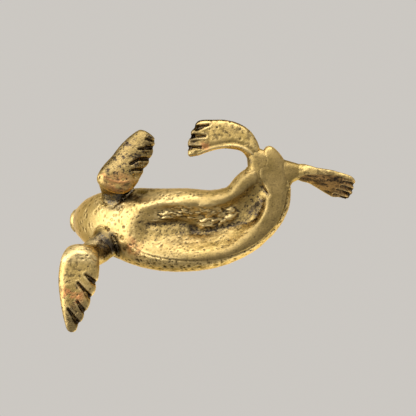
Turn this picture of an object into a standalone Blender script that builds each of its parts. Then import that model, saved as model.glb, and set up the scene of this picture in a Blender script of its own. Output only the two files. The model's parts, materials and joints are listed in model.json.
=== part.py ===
"""Cast brass sea lion figurine: a hollow-bellied torso with a head and four flippers brazed into sockets.

All sizes are in millimetres, and MM turns them into Blender's metres. +Z is up, the head faces -X and the
animal's left side is -Y. The origin is the centre of the footprint, on the ground that the flippers stand on.
"""

import math
from typing import NamedTuple

import bmesh
import bpy
import numpy as np
from mathutils import Matrix, Vector

MM = 0.001

# Fits shared by every brazed joint
CLEARANCE = 0.3
BRAZE_THICKNESS = 0.6
SEAT_SINK = 0.6
SPOT_FACE_REACH = 4.0

# Torso: from the tail's end to the neck seam, and the hollow in its belly
TAIL_X = 9.7
BODY_LENGTH = 28.7
BODY_WIDTH = 13.4
NECK_HEIGHT = 21.0
TAIL_CAP = 0.8
HOLLOW_WIDTH = 8.6
HOLLOW_DEPTH = 2.9
HOLLOW_DROP = 2.6
HOLLOW_CAP = 1.2

# Neck joint, between the torso and the head
NECK_RADIUS = 3.9
NECK_SPIGOT_RADIUS = 2.0
NECK_SPIGOT_LENGTH = 3.0
NECK_LEAD = 0.9

# Head: how far it rises and reaches forward from the neck joint
HEAD_RISE = 10.3
HEAD_REACH = 4.1
HEAD_WIDTH = 7.2
NOSE_CAP = 0.9
EYE_PLACE = 5.0
EYE_LEAD = 0.3
EYE_RADIUS = 0.75
EAR_PLACE = 3.7
EAR_LENGTH = 2.2
EAR_THICKNESS = 0.9

# Fore flippers: the leg and the paddle that it ends in
FORE_ROOT_RADIUS = 2.3
FORE_SPIGOT_RADIUS = 1.3
FORE_SPIGOT_LENGTH = 2.4
FORE_COLLAR_RADIUS = 2.8
FORE_LEAD = 1.4
FORE_LEG_RADIUS = 1.9
FORE_LEG_CAP = 0.8
FORE_SEAT_PLACE = 8.0
LEFT_FORE_SEAT_DROP = 36.0
RIGHT_FORE_SEAT_DROP = 52.0
FORE_WIDTH = 6.6
FORE_THICKNESS = 3.6
FORE_SOLE_CUT = 0.25
FORE_TIP_CAP = 0.7
FORE_HEEL_BACK = 1.5
FORE_HEEL_LIFT = 1.3
FORE_HEEL_CAP = 1.0
FORE_HEEL_TAPER = 0.84
LEFT_FORE_HEEL = (0.22, -2.66)
LEFT_FORE_HEADING = -56.5
LEFT_FORE_PITCH = 24.0
LEFT_FORE_LENGTH = 9.7
RIGHT_FORE_HEEL = (-3.98, 2.33)
RIGHT_FORE_HEADING = 97.0
RIGHT_FORE_PITCH = 0.0
RIGHT_FORE_LENGTH = 11.7

# Hind flippers
HIND_ROOT_RADIUS = 1.25
HIND_SPIGOT_RADIUS = 0.7
HIND_SPIGOT_LENGTH = 1.0
HIND_COLLAR_RADIUS = 1.4
HIND_LEAD = 0.9
HIND_SOLE_CUT = 0.3
HIND_CAP = 1.0
LEFT_HIND_PLACE = 1.33
LEFT_HIND_HEADING = 236.0
LEFT_HIND_LENGTH = 10.05
LEFT_HIND_WIDTH = 5.7
LEFT_HIND_THICKNESS = 2.4
RIGHT_HIND_PLACE = 2.0
RIGHT_HIND_HEADING = 3.0
RIGHT_HIND_LENGTH = 9.3
RIGHT_HIND_WIDTH = 6.3
RIGHT_HIND_THICKNESS = 1.8
RIGHT_HIND_ROLL = 50.0

# Toe lines pressed into the soles
TOE_LINE_WIDTH = 0.7
TOE_LINE_DEPTH = 0.55
FORE_TOE_LINE_LENGTH = 4.6
FORE_TOE_LINE_ANGLE = 45.0
FORE_TOE_LINE_COUNT = 5
HIND_TOE_LINE_LENGTH = 4.8
HIND_TOE_LINE_COUNT = 4

# Mesh fineness
TORSO_POINT_COUNT = 36
HEAD_POINT_COUNT = 20
LIMB_POINT_COUNT = 20
SPAN_RING_COUNT = 3
CAP_RING_COUNT = 3
TURN_STEP_COUNT = 24


class Section(NamedTuple):
    """A cross-section of a swept form: its centre, half width and the heights over and under the centre.

    Roll turns it about the path, square makes its belly boxier, and lean sets its sides ahead and behind.
    """

    x: float
    y: float
    z: float
    half_width: float
    over: float
    under: float
    roll: float = 0.0
    square: float = 2.0
    lean: float = 0.0


class Frame(NamedTuple):
    """A cross-section set square to its path."""

    centre: Vector
    along: Vector
    side: Vector
    up: Vector
    section: Section


class Seat(NamedTuple):
    """A brazed joint: the flat seat on the torso, its outward direction and the sizes of what meets there."""

    centre: Vector
    normal: Vector
    root_radius: float
    spigot_radius: float
    spigot_length: float
    collar_radius: float
    lead: float


# Torso from the tail to the neck: shares of length, aside, shares of height and width, over, under, square
TORSO = (
    (0.000, -12.1, 0.048, 0.15, 0.9, 1.2, 2.6),
    (-0.014, -11.0, 0.062, 0.24, 1.4, 1.6, 3.0),
    (-0.016, -9.2, 0.090, 0.43, 2.1, 2.3, 3.4),
    (0.024, -6.2, 0.133, 0.70, 3.0, 3.3, 3.6),
    (0.101, -2.4, 0.176, 0.79, 4.0, 4.3, 3.6),
    (0.272, 0.2, 0.229, 0.91, 5.1, 5.4, 3.6),
    (0.460, 0.7, 0.295, 1.00, 6.0, 6.4, 3.4),
    (0.659, 0.5, 0.405, 0.97, 6.2, 6.2, 2.8),
    (0.812, -0.3, 0.533, 0.87, 5.8, 5.6, 2.3),
    (0.923, -0.5, 0.695, 0.76, 5.0, 4.8, 2.0),
    (0.979, -0.6, 0.857, 0.66, 4.4, 4.1, 2.0),
)
NECK_ASIDE = -0.6

# Hollow from the tail to the chest: shares of length, aside, up, shares of width and depth, under
HOLLOW = (
    (0.042, -6.9, 0.3, 0.21, 0.15, 1.2),
    (0.056, -5.9, 0.3, 0.36, 0.34, 1.6),
    (0.087, -4.0, 0.3, 0.55, 0.55, 2.0),
    (0.164, -1.6, 0.3, 0.71, 0.72, 2.4),
    (0.282, 0.3, 0.3, 0.86, 0.89, 2.8),
    (0.439, 0.9, 0.5, 1.00, 1.00, 3.2),
    (0.585, 0.8, 1.5, 0.98, 0.86, 3.6),
    (0.690, 0.7, 2.9, 0.84, 0.50, 3.4),
    (0.750, 0.6, 4.1, 0.52, 0.22, 3.0),
)

# Head from the upper neck to the nose: shares of reach, rise and width, over, under
HEAD = (
    (0.05, 0.233, 1.01, 3.6, 3.6),
    (0.05, 0.476, 1.00, 3.6, 3.4),
    (0.13, 0.699, 0.98, 3.4, 3.1),
    (0.41, 0.854, 0.83, 2.5, 2.4),
    (0.71, 0.932, 0.61, 1.7, 1.9),
    (1.00, 1.000, 0.57, 1.45, 1.7),
)

# Fore flippers from the heel to the tip: shares of length, width and thickness
LEFT_FORE_TAPER = (
    (0.00, 0.94, 1.10),
    (0.35, 0.88, 0.85),
    (0.75, 0.79, 0.65),
    (1.00, 0.56, 0.48),
)
RIGHT_FORE_TAPER = (
    (0.00, 0.90, 1.10),
    (0.28, 0.98, 0.95),
    (0.60, 0.76, 0.75),
    (0.86, 0.47, 0.56),
    (1.00, 0.27, 0.42),
)

# Hind flippers from the ankle to the toes: shares of length back and aside, of width and thickness, lean
LEFT_HIND = (
    (-0.105, -0.186, 0.49, 1.00, 0.0),
    (-0.234, -0.315, 0.68, 1.00, 0.0),
    (-0.423, -0.385, 0.79, 1.00, 0.0),
    (-0.642, -0.395, 0.84, 0.98, 0.0),
    (-0.821, -0.365, 0.93, 0.90, -0.2),
    (-1.000, -0.325, 1.00, 0.81, -0.5),
)
RIGHT_HIND = (
    (0.246, 0.041, 0.60, 1.00, 0.0),
    (0.536, 0.132, 0.79, 1.00, 0.0),
    (0.794, 0.235, 1.00, 0.94, 0.0),
    (1.000, 0.299, 0.97, 0.83, 0.0),
)


def clear_scene():
    for old in list(bpy.data.objects):
        bpy.data.objects.remove(old)


def collection(name):
    made = bpy.data.collections.new(name)
    bpy.context.scene.collection.children.link(made)
    return made


def metal(name, colour, roughness):
    """A solid metal with one colour and gloss."""
    made = bpy.data.materials.new(name)
    made.use_nodes = True
    shader = made.node_tree.nodes["Principled BSDF"]
    shader.inputs["Base Color"].default_value = (*colour, 1.0)
    shader.inputs["Metallic"].default_value = 1.0
    shader.inputs["Roughness"].default_value = roughness
    return made


def distances(points):
    """How far along the path each point lies."""
    steps = np.linalg.norm(np.diff(points[:, :3], axis=0), axis=1)
    return np.concatenate([[0], np.cumsum(steps)])


def spline(rows, per_span):
    """Rows on a smooth curve through the given rows of numbers, with per_span steps from each to the next."""
    points = np.array(rows, float)
    places = distances(points)
    slopes = np.gradient(points, places, axis=0)
    made = []
    for index in range(len(points) - 1):
        start, end = points[index], points[index + 1]
        length = places[index + 1] - places[index]
        for step in range(per_span):
            t = step / per_span
            blend = t * t * (3 - 2 * t)
            leave = t * (1 - t) ** 2 * length * slopes[index]
            arrive = t * t * (t - 1) * length * slopes[index + 1]
            made.append(start + (end - start) * blend + leave + arrive)
    made.append(points[-1])
    return np.array(made)


def frames(sections, start=None, side=None):
    """Frames along a smooth path. Start is its first direction, and the width follows side or lies level."""
    rows = spline(sections, SPAN_RING_COUNT)
    directions = np.gradient(rows[:, :3], distances(rows), axis=0)
    made = []
    for row, direction in zip(rows, directions):
        section = Section(*row)
        along = Vector(direction).normalized()
        if start is not None and not made:
            along = start.normalized()
        across = side if side is not None else Vector((-along.y, along.x, 0))
        across = (across - along * across.dot(along)).normalized()
        up = along.cross(across)
        turn = Matrix.Rotation(math.radians(section.roll), 3, along)
        made.append(Frame(Vector(row[:3]), along, turn @ across, turn @ up, section))
    return made


def frame_at(path, place):
    """The frame nearest to a place, counted in sections from the first."""
    return path[round(place * SPAN_RING_COUNT)]


def ring(frame, count, scale=1.0, shift=0.0):
    """Points of a frame's section, scaled about its centre and shifted along its path."""
    section = frame.section
    points = []
    for index in range(count):
        turn = 2 * math.pi * index / count
        cos, sin = math.cos(turn), math.sin(turn)
        power = 2 / (section.square if sin < 0 else 2.0)
        width = math.copysign(abs(cos) ** power, cos) * section.half_width
        height = math.copysign(abs(sin) ** power, sin) * (section.over if sin > 0 else section.under)
        offset = (frame.side + frame.along * section.lean) * width + frame.up * height
        points.append(frame.centre + frame.along * shift + offset * scale)
    return points


def circle(frame, count, radius, centre):
    """Points of a circle square to a frame, at another centre."""
    section = Section(*centre, radius, radius, radius)
    return ring(frame._replace(centre=centre, section=section), count)


def cap_rings(frame, count, length):
    """Rings that round off the end of a swept form, and the point where they close."""
    rings = []
    for step in range(1, CAP_RING_COUNT):
        turn = math.radians(90 * step / CAP_RING_COUNT)
        rings.append(ring(frame, count, math.cos(turn), length * math.sin(turn)))
    return rings, frame.centre + frame.along * length


def mesh_object(name, bm):
    """A smooth-shaded object from a bmesh, which is freed."""
    mesh = bpy.data.meshes.new(name)
    bm.to_mesh(mesh)
    bm.free()
    mesh.shade_smooth()
    mesh.set_sharp_from_angle(angle=math.radians(50))
    return bpy.data.objects.new(name, mesh)


def loft(name, rings, first_pole=None, last_pole=None):
    """A closed object through rings of points. An end without a pole is closed by a flat face."""
    bm = bmesh.new()
    rows = [[bm.verts.new(point * MM) for point in points] for points in rings]
    for lower, upper in zip(rows, rows[1:]):
        for a, b, c, d in zip(lower, lower[1:] + lower[:1], upper[1:] + upper[:1], upper):
            bm.faces.new((a, b, c, d))
    for row, pole in ((rows[0], first_pole), (rows[-1], last_pole)):
        if pole is None:
            bm.faces.new(row)
            continue
        tip = bm.verts.new(pole * MM)
        for a, b in zip(row, row[1:] + row[:1]):
            bm.faces.new((a, b, tip))
    bmesh.ops.recalc_face_normals(bm, faces=bm.faces)
    return mesh_object(name, bm)


def box(name, low, high):
    """A box between two corners."""
    bm = bmesh.new()
    bmesh.ops.create_cube(bm, size=1)
    size = [(b - a) * MM for a, b in zip(low, high)]
    middle = [(a + b) / 2 * MM for a, b in zip(low, high)]
    place = Matrix.Translation(middle) @ Matrix.Diagonal((*size, 1))
    bmesh.ops.transform(bm, matrix=place, verts=bm.verts)
    return mesh_object(name, bm)


def egg(name, centre, axes, sizes):
    """An ellipsoid with the given half sizes along three axes."""
    bm = bmesh.new()
    bmesh.ops.create_uvsphere(bm, u_segments=10, v_segments=8, radius=1)
    columns = Matrix([axis * size * MM for axis, size in zip(axes, sizes)]).transposed()
    bmesh.ops.transform(bm, matrix=columns.to_4x4(), verts=bm.verts)
    bmesh.ops.recalc_face_normals(bm, faces=bm.faces)
    made = mesh_object(name, bm)
    made.location = centre * MM
    return made


def turned(name, profile, matrix):
    """A solid of revolution about the matrix's Z axis. The profile runs down its outer side."""
    mesh = bpy.data.meshes.new(name)
    edges = [(i, i + 1) for i in range(len(profile) - 1)]
    if all(radius > 0 for radius, _ in profile):
        edges.append((len(profile) - 1, 0))
    mesh.from_pydata([(radius * MM, 0, height * MM) for radius, height in profile], edges, [])
    made = bpy.data.objects.new(name, mesh)
    made.matrix_world = matrix
    screw = made.modifiers.new("turn", "SCREW")
    screw.axis = "Z"
    screw.steps = screw.render_steps = TURN_STEP_COUNT
    screw.use_merge_vertices = True
    screw.merge_threshold = 0.00001
    screw.use_smooth_shade = True
    return made


def ground_cutter(name):
    """Everything below the ground, which leaves the soles and the belly's rim flat."""
    reach = 2 * BODY_LENGTH
    return box(name, (-reach, -reach, -reach), (reach, reach, 0))


def seat_matrix(seat):
    """Places a turned shape on a seat, with Z along its outward direction."""
    return Matrix.Translation(seat.centre * MM) @ seat.normal.to_track_quat("Z", "Y").to_matrix().to_4x4()


def socket_cutter(name, seat, spot_face):
    """The socket for a spigot, and a flat spot face for the braze where the torso isn't flat already."""
    hole = seat.spigot_radius + CLEARANCE
    depth = seat.spigot_length + CLEARANCE
    profile = [(hole, -depth), (0, -depth)]
    if spot_face:
        face = seat.collar_radius + CLEARANCE
        profile = [(face, SPOT_FACE_REACH), (face, 0), (hole, 0), *profile]
    else:
        profile = [(hole, SPOT_FACE_REACH), *profile]
    return turned(name, [(0, SPOT_FACE_REACH), *profile], seat_matrix(seat))


def braze_bead(name, seat):
    """The bead of braze between a seat and the limb on it, wider at the torso."""
    low, high = CLEARANCE, CLEARANCE + BRAZE_THICKNESS
    hole = seat.spigot_radius + CLEARANCE
    profile = (
        (hole, high),
        (seat.root_radius, high),
        ((seat.root_radius + seat.collar_radius) / 2, (2 * low + high) / 3),
        (seat.collar_radius, low),
        (hole, low),
    )
    return turned(name, profile, seat_matrix(seat))


def root_centre(seat):
    """Where a limb's flat root lies, above the seat and the braze on it."""
    return seat.centre + seat.normal * (BRAZE_THICKNESS + 2 * CLEARANCE)


def limb(name, seat, sections, cap, side=None, count=LIMB_POINT_COUNT):
    """A casting with a spigot for its socket, a flat root on the braze and a body along the sections."""
    root = root_centre(seat)
    radius = seat.root_radius
    lead = [Section(*(root + seat.normal * reach), radius, radius, radius) for reach in (0, seat.lead)]
    path = frames((*lead, *sections), seat.normal, side)
    spigot_end = seat.centre - seat.normal * seat.spigot_length
    rings = [circle(path[0], count, seat.spigot_radius, centre) for centre in (spigot_end, root)]
    rings += [ring(frame, count) for frame in path]
    rounded, tip = cap_rings(path[-1], count, cap)
    return loft(name, rings + rounded, last_pole=tip), path


class Builder:
    """Puts the parts in one collection and the cutters in another."""

    def __init__(self):
        clear_scene()
        self.parts = collection("sea_lion_figurine")
        self.cutters = collection("cutters")
        self.base = bpy.data.objects.new("figurine_base", None)
        self.parts.objects.link(self.base)
        self.brass = metal("cast_brass", (0.62, 0.43, 0.16), 0.33)
        self.dark_braze = metal("dark_braze", (0.10, 0.08, 0.06), 0.45)
        self.filed_braze = metal("filed_braze", (0.55, 0.39, 0.15), 0.38)

    def part(self, made, material):
        self.parts.objects.link(made)
        made.parent = self.base
        made.data.materials.append(material)
        return made

    def combine(self, target, tool, operation="DIFFERENCE"):
        """Cuts a tool from a part, or joins it, with the tool kept as a hidden cutter."""
        self.cutters.objects.link(tool)
        tool.hide_render = True
        tool.display_type = "WIRE"
        step = target.modifiers.new(tool.name, "BOOLEAN")
        step.operation = operation
        step.object = tool


def torso_sections():
    sections = []
    for back, aside, rise, wide, over, under, square in TORSO:
        centre = (TAIL_X - back * BODY_LENGTH, aside, rise * NECK_HEIGHT)
        sections.append(Section(*centre, wide * BODY_WIDTH / 2, over, under, square=square))
    seam = (TAIL_X - BODY_LENGTH, NECK_ASIDE, NECK_HEIGHT)
    return (*sections, Section(*seam, NECK_RADIUS, NECK_RADIUS, NECK_RADIUS))


def hollow_cutter():
    """The leaf-shaped hollow. Its sections are centred below the belly, so that its sides slope."""
    sections = []
    for back, aside, up, wide, deep, under in HOLLOW:
        centre = (TAIL_X - back * BODY_LENGTH, aside, up - HOLLOW_DROP)
        over = HOLLOW_DROP + deep * HOLLOW_DEPTH
        half = wide * HOLLOW_WIDTH / 2 / math.sqrt(1 - (HOLLOW_DROP / over) ** 2)
        sections.append(Section(*centre, half, over, under))
    path = frames(sections)
    chest, chest_tip = cap_rings(path[-1], LIMB_POINT_COUNT, HOLLOW_CAP)
    tail, tail_tip = cap_rings(path[0], LIMB_POINT_COUNT, -HOLLOW_CAP)
    rings = tail[::-1] + [ring(frame, LIMB_POINT_COUNT) for frame in path] + chest
    return loft("belly_hollow", rings, tail_tip, chest_tip)


def torso(builder, path, seats):
    """The torso, flat where it meets the ground, with a seat for each limb and for the head."""
    tail, tip = cap_rings(path[0], TORSO_POINT_COUNT, -TAIL_CAP)
    rings = tail[::-1] + [ring(frame, TORSO_POINT_COUNT) for frame in path]
    made = builder.part(loft("torso", rings, first_pole=tip), builder.brass)
    builder.combine(made, ground_cutter("torso_ground"))
    builder.combine(made, hollow_cutter())
    for name, seat in seats.items():
        builder.combine(made, socket_cutter(name + "_socket", seat, spot_face=name != "neck"))
    return made


def flank_seat(path, place, left, drop, heading, sizes):
    """A seat on the torso's flank, dropped below its side. It faces out, or along a heading."""
    frame = frame_at(path, place)
    turn = math.radians(drop)
    section = frame.section
    side = frame.side if left else -frame.side
    out = side * math.cos(turn) - frame.up * math.sin(turn)
    surface = frame.centre + side * (section.half_width * math.cos(turn))
    surface -= frame.up * (section.under * math.sin(turn))
    if heading is not None:
        out = Vector((math.cos(math.radians(heading)), math.sin(math.radians(heading)), 0))
    return Seat(surface - out * SEAT_SINK, out.normalized(), *sizes)


def head(builder, seat):
    """The head with its upper neck, eyes and ear flaps."""
    neck = root_centre(seat)
    left = Vector((0, -1, 0))
    sections = []
    for reach, rise, wide, over, under in HEAD:
        centre = (neck.x - reach * HEAD_REACH, neck.y, neck.z + rise * HEAD_RISE)
        sections.append(Section(*centre, wide * HEAD_WIDTH / 2, over, under))
    made, path = limb("head", seat, sections, NOSE_CAP, left, HEAD_POINT_COUNT)
    builder.part(made, builder.brass)
    eyes, ears = frame_at(path, EYE_PLACE), frame_at(path, EAR_PLACE)
    for word, hand in (("left", 1), ("right", -1)):
        section = eyes.section
        place = eyes.centre + eyes.side * (hand * section.half_width * 0.80) + eyes.up * (section.over * 0.5)
        place += eyes.along * EYE_LEAD
        axes = (eyes.along, eyes.side, eyes.up)
        builder.combine(made, egg(word + "_eye", place, axes, [EYE_RADIUS] * 3), "UNION")
        section = ears.section
        place = ears.centre + ears.side * (hand * section.half_width * 0.95) + ears.up * (section.over * 0.25)
        lean = (ears.side * hand - ears.along * 1.2).normalized()
        across = lean.cross(ears.up).normalized()
        sizes = (EAR_LENGTH / 2, EAR_THICKNESS / 2, EAR_THICKNESS * 0.7)
        builder.combine(made, egg(word + "_ear", place, (lean, across, ears.up), sizes), "UNION")
    return made


def toe_line(builder, flipper, name, centre, along, up, length):
    """A tapering line pressed into a sole."""
    across = up.cross(along).normalized()
    centre.z = max(centre.z, 0)
    sizes = (length / 2, TOE_LINE_WIDTH / 2, TOE_LINE_DEPTH)
    builder.combine(flipper, egg(name, centre, (along, across, up), sizes))


def fore_flipper(builder, word, seat, heel, heading, pitch, length, taper):
    """A leg joined to the lifted heel of a paddle, with slanting toe lines on the paddle's trailing edge."""
    turn, rise = math.radians(heading), math.radians(pitch)
    level = Vector((math.cos(turn), math.sin(turn), 0))
    across = Vector((-math.sin(turn), math.cos(turn), 0))
    forward = level * math.cos(rise) + Vector((0, 0, math.sin(rise)))
    up = forward.cross(across)
    sole = Vector((seat.centre.x + heel[0], seat.centre.y + heel[1], -FORE_SOLE_CUT))
    sections = []
    for share, wide, thick in taper:
        half = FORE_THICKNESS / 2 * thick
        centre = sole + forward * (length * share) + up * half
        sections.append(Section(*centre, FORE_WIDTH / 2 * wide, half, half))
    ankle = Vector(sections[0][:3])
    back = ankle - forward * FORE_HEEL_BACK + Vector((0, 0, FORE_HEEL_LIFT))
    width = sections[0].half_width * FORE_HEEL_TAPER
    sections.insert(0, sections[0]._replace(x=back.x, y=back.y, z=back.z, half_width=width))
    path = frames(sections, side=across)
    heel_rings, heel_pole = cap_rings(path[0], LIMB_POINT_COUNT, -FORE_HEEL_CAP)
    tip_rings, tip_pole = cap_rings(path[-1], LIMB_POINT_COUNT, FORE_TIP_CAP)
    rings = heel_rings[::-1] + [ring(frame, LIMB_POINT_COUNT) for frame in path] + tip_rings
    paddle = loft(f"fore_{word}_paddle", rings, first_pole=heel_pole, last_pole=tip_pole)
    leg = Section(*ankle, FORE_LEG_RADIUS, FORE_LEG_RADIUS, FORE_LEG_RADIUS)
    made, _ = limb(f"fore_flipper_{word}", seat, [leg], FORE_LEG_CAP, across)
    builder.part(made, builder.brass)
    builder.combine(made, paddle, "UNION")
    builder.combine(made, ground_cutter(f"fore_{word}_ground"))
    slant = math.radians(FORE_TOE_LINE_ANGLE)
    for index in range(FORE_TOE_LINE_COUNT):
        frame = frame_at(path, 1.5 + index * (len(taper) - 1.2) / FORE_TOE_LINE_COUNT)
        trailing = frame.side if frame.side.x > 0 else -frame.side
        along = frame.along * math.cos(slant) + trailing * math.sin(slant)
        centre = frame.centre + trailing * frame.section.half_width - frame.up * frame.section.under * 0.6
        toe_line(builder, made, f"fore_{word}_toe_{index}", centre, along, frame.up, FORE_TOE_LINE_LENGTH)
    return made


def left_hind_sections(root):
    """A flat flipper that curves forward, with its sole on the ground."""
    for back, aside, wide, thick, lean in LEFT_HIND:
        half = LEFT_HIND_THICKNESS / 2 * thick
        x, y = root.x + back * LEFT_HIND_LENGTH, root.y + aside * LEFT_HIND_LENGTH
        z, under = half - HIND_SOLE_CUT / 2, half + HIND_SOLE_CUT
        yield Section(x, y, z, wide * LEFT_HIND_WIDTH / 2, half, under, lean=lean)


def right_hind_sections(root):
    """A flipper turned on its edge, with that edge on the ground."""
    roll = math.radians(RIGHT_HIND_ROLL)
    for back, aside, wide, thick, lean in RIGHT_HIND:
        half, width = RIGHT_HIND_THICKNESS / 2 * thick, wide * RIGHT_HIND_WIDTH / 2
        x, y = root.x + back * RIGHT_HIND_LENGTH, root.y + aside * RIGHT_HIND_LENGTH
        z = math.hypot(width * math.sin(roll), half * math.cos(roll)) - HIND_SOLE_CUT / 3
        yield Section(x, y, z, width, half, half, RIGHT_HIND_ROLL, lean=lean)


def hind_flipper(builder, word, seat, sections):
    """A flipper that widens to blunt toes, with toe lines at its end."""
    made, path = limb(f"hind_flipper_{word}", seat, sections, HIND_CAP)
    builder.part(made, builder.brass)
    builder.combine(made, ground_cutter(f"hind_{word}_ground"))
    frame = path[-1]
    section = frame.section
    for index in range(HIND_TOE_LINE_COUNT):
        offset = (index + 1) / (HIND_TOE_LINE_COUNT + 1) * 2 - 1
        across = (frame.side + frame.along * section.lean) * (offset * section.half_width)
        centre = frame.centre + across + frame.along * HIND_CAP - frame.up * section.under
        name = f"hind_{word}_toe_{index}"
        toe_line(builder, made, name, centre, frame.along, frame.up, HIND_TOE_LINE_LENGTH)
    return made


def main():
    builder = Builder()
    path = frames(torso_sections())
    fore = (FORE_ROOT_RADIUS, FORE_SPIGOT_RADIUS, FORE_SPIGOT_LENGTH, FORE_COLLAR_RADIUS, FORE_LEAD)
    hind = (HIND_ROOT_RADIUS, HIND_SPIGOT_RADIUS, HIND_SPIGOT_LENGTH, HIND_COLLAR_RADIUS, HIND_LEAD)
    neck = (NECK_RADIUS, NECK_SPIGOT_RADIUS, NECK_SPIGOT_LENGTH, NECK_RADIUS, NECK_LEAD)
    seats = {
        "neck": Seat(path[-1].centre, path[-1].along, *neck),
        "fore_left": flank_seat(path, FORE_SEAT_PLACE, True, LEFT_FORE_SEAT_DROP, None, fore),
        "fore_right": flank_seat(path, FORE_SEAT_PLACE, False, RIGHT_FORE_SEAT_DROP, None, fore),
        "hind_left": flank_seat(path, LEFT_HIND_PLACE, True, 0, LEFT_HIND_HEADING, hind),
        "hind_right": flank_seat(path, RIGHT_HIND_PLACE, False, 0, RIGHT_HIND_HEADING, hind),
    }
    torso(builder, path, seats)
    head(builder, seats["neck"])
    fore_flipper(
        builder, "left", seats["fore_left"], LEFT_FORE_HEEL, LEFT_FORE_HEADING,
        LEFT_FORE_PITCH, LEFT_FORE_LENGTH, LEFT_FORE_TAPER,
    )
    fore_flipper(
        builder, "right", seats["fore_right"], RIGHT_FORE_HEEL, RIGHT_FORE_HEADING,
        RIGHT_FORE_PITCH, RIGHT_FORE_LENGTH, RIGHT_FORE_TAPER,
    )
    hind_flipper(builder, "left", seats["hind_left"], left_hind_sections(root_centre(seats["hind_left"])))
    hind_flipper(builder, "right", seats["hind_right"], right_hind_sections(root_centre(seats["hind_right"])))
    for name, seat in seats.items():
        finish = builder.dark_braze if name.startswith("fore") else builder.filed_braze
        bead = builder.part(braze_bead(name + "_braze", seat), finish)
        if name.startswith("hind"):
            builder.combine(bead, ground_cutter(name + "_braze_ground"))


main()
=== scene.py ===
"""Looks of a cast brass sea lion figurine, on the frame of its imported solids.

Each casting is a fine copy of its solid, smoothed and then sculpted with the marks of casting and filing.
Fillets of braze then fill the corners between the castings. Sizes are in millimetres unless a name says
otherwise. The photograph shows the underside, so the camera looks up along +Z.
"""

import json
import math
from collections import namedtuple

import bmesh
import bpy
import numpy as np
from mathutils import Matrix, Vector
from mathutils.bvhtree import BVHTree

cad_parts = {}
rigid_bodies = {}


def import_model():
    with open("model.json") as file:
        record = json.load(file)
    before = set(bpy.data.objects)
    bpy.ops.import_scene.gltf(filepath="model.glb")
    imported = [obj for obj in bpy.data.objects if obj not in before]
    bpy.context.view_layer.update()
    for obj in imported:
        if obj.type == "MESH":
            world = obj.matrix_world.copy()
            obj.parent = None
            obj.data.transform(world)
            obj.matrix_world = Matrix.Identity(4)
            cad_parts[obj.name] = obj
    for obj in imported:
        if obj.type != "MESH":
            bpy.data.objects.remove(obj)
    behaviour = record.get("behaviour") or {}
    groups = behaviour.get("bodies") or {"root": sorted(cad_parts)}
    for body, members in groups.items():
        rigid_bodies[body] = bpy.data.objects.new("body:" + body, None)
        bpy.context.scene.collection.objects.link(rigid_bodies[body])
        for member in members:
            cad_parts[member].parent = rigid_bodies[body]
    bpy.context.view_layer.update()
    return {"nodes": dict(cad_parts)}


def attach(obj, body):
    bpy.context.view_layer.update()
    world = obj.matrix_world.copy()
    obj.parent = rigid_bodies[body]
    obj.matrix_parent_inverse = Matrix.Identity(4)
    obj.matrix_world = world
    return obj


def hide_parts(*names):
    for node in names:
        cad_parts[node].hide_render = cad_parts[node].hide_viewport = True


Heel = namedtuple("Heel", "sole heading share")
FilletSizes = namedtuple("FilletSizes", "reach straight softness shade film")
Bead = namedtuple("Bead", "node limb slot material sizes")
Zones = namedtuple("Zones", "under polished coarse low_flank hollow upper lower chest left_side")

MM = 0.001

# Camera below the figurine, with the head at the picture's left
CAMERA_DISTANCE = 300.0
VIEW_WIDTH = 66.56
VIEW_CENTRE_Y = -2.88
SENSOR_WIDTH = 36.0
CLIP_START_M = 0.01

# Soft square lamps: name, place, width, and power in watts
LAMPS = (
    ("key", (-135, -160, -165), 360, 0.70),
    ("side", (-285, -10, -50), 280, 0.72),
    ("top", (30, -290, -50), 220, 0.48),
    ("overhead", (0, 60, 300), 300, 0.38),
    ("rim", (140, 200, 160), 240, 0.30),
)

# The room: its walls on the figurine's left and right, its ceiling, and a floor in two shades
LEFT_WALL = (0.74, 0.72, 0.69)
RIGHT_WALL = (0.40, 0.39, 0.375)
CEILING = (0.60, 0.575, 0.54)
FLOOR_SHADES = ((0.72, 0.70, 0.67), (0.76, 0.74, 0.71))
FLOOR_SPECKLE = 40.0
FLOOR_RADIUS_M = 4.0
FLOOR_SIDES = 64

# Colours of the metal, as linear red, green and blue; the patina and copper ones also serve as painted shade
BRASS = (0.60, 0.42, 0.15)
PALE_BRASS = (0.72, 0.54, 0.24)
OLIVE_BRASS = (0.41, 0.285, 0.085)
COPPER = (0.62, 0.27, 0.10)
PATINA = (0.055, 0.040, 0.028)
GREY_PATINA = (0.065, 0.055, 0.045)
EDGE_TINT = (0.80, 0.62, 0.36)

# Roughness of the metal, how much smoother full patina is, and the sizes of the lumps in its colour
BRASS_ROUGHNESS = 0.40
DARK_BRAZE_ROUGHNESS = 0.36
PATINA_SMOOTHNESS = 0.16
CLOUD_SIZE = 2.6
MOTTLE_SIZE = 0.9
GRAIN_SIZE = 0.28
GRAIN_BUMP = 0.06

# Fineness of the castings
TORSO_VOXEL = 0.165
HEAD_VOXEL = 0.12
FLIPPER_VOXEL = 0.10

# How far the castings are rounded off, after they swell by as much as the rounding takes from their edges
ROUNDING = 0.55
SWELL = 0.12
HEAD_ROUNDING = 0.3
HEAD_SWELL = 0.05
SOLE_SOFTNESS = 0.10

# Fine and broad hollows: smoothing steps that find them, their full depth, and shares of patina and wear
FINE_CAVITY = (4, 0.022)
BROAD_CAVITY = (40, 0.16)
FINE_PATINA = 0.75
BROAD_PATINA = 0.25
FINE_WEAR = 0.6
BROAD_WEAR = 0.7

# Width of the nearly flat band along the rim line, and the rise for each millimetre on it and in the hollow
RIM_BAND = 1.2
RIM_SLOPE = 0.15
HOLLOW_SLOPE = 0.75
RIM_SEARCH_RADIUS = 0.6
RIM_SOFT_STEPS = 60

# Where the hollow runs out into the chest, and the share of the radius that is fully softened
HOLLOW_END = (-11.6, 0.6)
HOLLOW_END_RADIUS = 4.6
HOLLOW_END_CORE = 0.6
HOLLOW_END_STEPS = 160

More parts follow.
